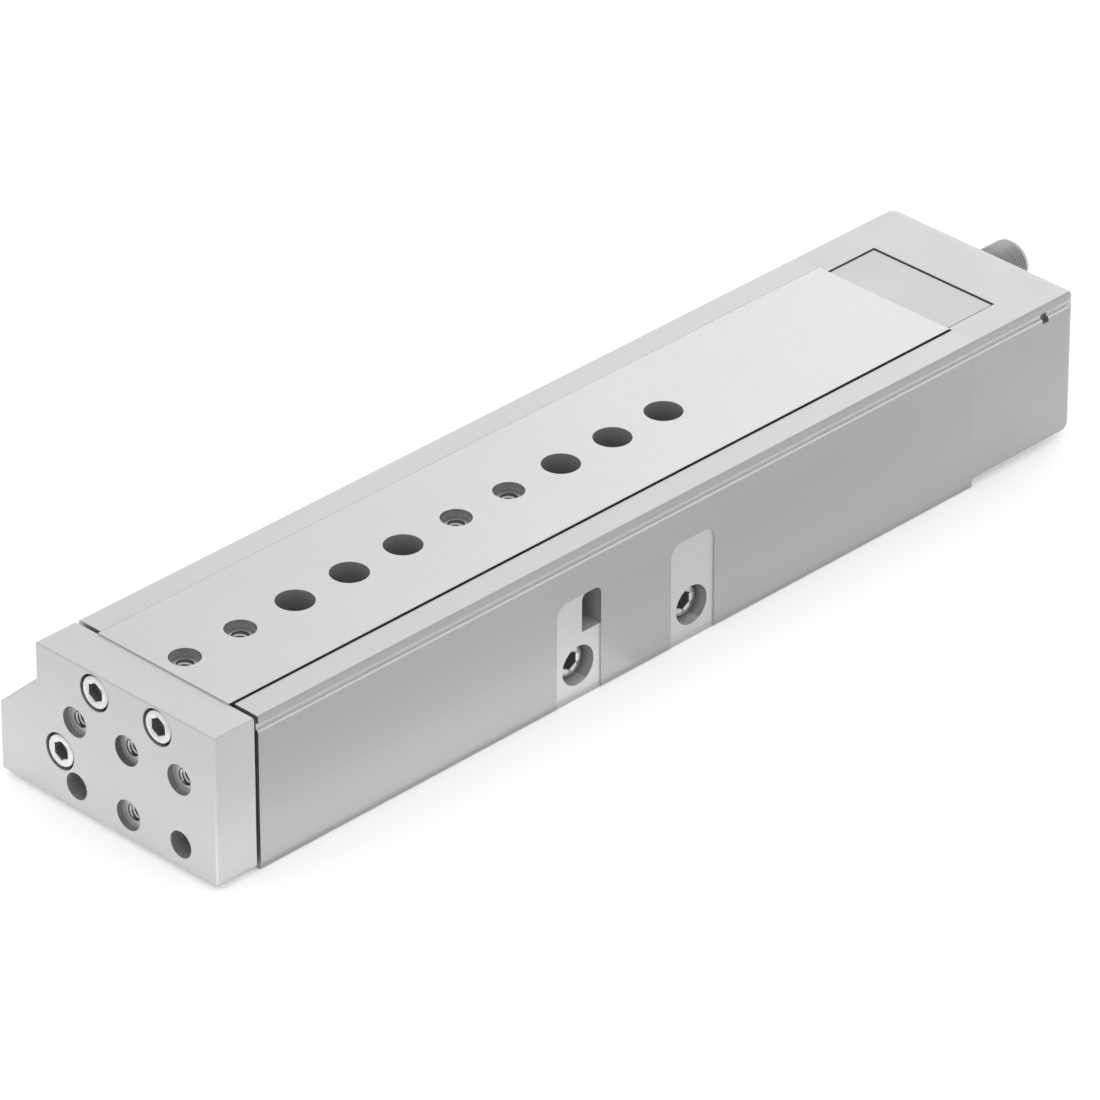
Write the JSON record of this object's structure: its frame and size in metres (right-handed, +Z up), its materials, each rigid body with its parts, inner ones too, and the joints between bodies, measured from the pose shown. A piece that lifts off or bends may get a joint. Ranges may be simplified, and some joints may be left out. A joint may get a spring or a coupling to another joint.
{
  "type": "pneumatic slide table",
  "caption": "Pneumatic slide table: a ball-guided steel slide with a front plate, driven by a built-in cylinder and stopped by shock absorbers.",
  "frame": {"origin": "on the mounting base, below the line of the slide's hole row, in the middle of the mounting screws", "axes": "+X to the right seen from the front plate, +Y to the rear along the travel, +Z up out of the slide's ground top; the slide advances towards -Y"},
  "size_m": [0.0832, 0.3546, 0.0479],
  "materials": {
    "anodised_body": "satin",
    "cast_cap": "satin",
    "ground_steel": "ground",
    "matte_steel": "matte",
    "anodised_plate": "satin",
    "screw_steel": "zinc plated",
    "hardened_steel": "ground",
    "chromed_rod": "polished",
    "ball_steel": "polished",
    "cage_brass": "satin",
    "seal_rubber": "matte",
    "magnet_filled_plastic": "matte",
    "buffer_plastic": "matte",
    "turned_aluminium": "turned",
    "absorber_steel": "zinc plated"
  },
  "bodies": {
    "housing": {"housing": "anodised_body", "rear_cap": "cast_cap", "cap_screws": "screw_steel", "left_rail": "hardened_steel", "right_rail": "hardened_steel", "guide_end_stops": "screw_steel", "end_stop_screws": "screw_steel", "stop_carrier": "turned_aluminium", "clamp_screws": "screw_steel", "gland": "turned_aluminium", "gland_o_ring": "seal_rubber", "gland_circlip": "hardened_steel", "rod_seal": "seal_rubber", "rod_wiper": "seal_rubber", "front_absorber_barrel": "absorber_steel", "front_absorber_nut": "screw_steel", "rear_absorber_barrel": "absorber_steel", "rear_absorber_nut": "screw_steel"},
    "slide": {"slide": "ground_steel", "stop_plate": "matte_steel", "stop_plate_screws": "screw_steel", "yoke": "anodised_plate", "yoke_screws": "screw_steel", "rod_screw": "screw_steel", "piston_rod": "chromed_rod", "piston_front_half": "turned_aluminium", "piston_rear_half": "turned_aluminium", "piston_magnet": "magnet_filled_plastic", "piston_seals": "seal_rubber", "piston_nut": "screw_steel"},
    "left_cage": {"left_cage": "cage_brass", "left_balls": "ball_steel"},
    "right_cage": {"right_cage": "cage_brass", "right_balls": "ball_steel"},
    "front_plunger": {"front_absorber_plunger": "chromed_rod", "front_absorber_bumper": "buffer_plastic"},
    "rear_plunger": {"rear_absorber_plunger": "chromed_rod", "rear_absorber_bumper": "buffer_plastic"}
  },
  "joints": [
    {"name": "slide_travel", "type": "slide", "parent": "housing", "child": "slide", "axis": [0, -1, 0], "range_m": [0, 0.15]},
    {"name": "left_cage_travel", "type": "slide", "parent": "housing", "child": "left_cage", "axis": [0, -1, 0], "range_m": [0, 0.075]},
    {"name": "right_cage_travel", "type": "slide", "parent": "housing", "child": "right_cage", "axis": [0, -1, 0], "range_m": [0, 0.075]},
    {"name": "front_plunger_travel", "type": "slide", "parent": "housing", "child": "front_plunger", "axis": [0, -1, 0], "range_m": [0, 0.008], "stiffness_N_per_m": 800},
    {"name": "rear_plunger_travel", "type": "slide", "parent": "housing", "child": "rear_plunger", "axis": [0, 1, 0], "range_m": [0, 0.008], "stiffness_N_per_m": 800}
  ],
  "couplings": [
    {"joint": "left_cage_travel", "follows": "slide_travel", "ratio": 0.5},
    {"joint": "right_cage_travel", "follows": "slide_travel", "ratio": 0.5}
  ]
}
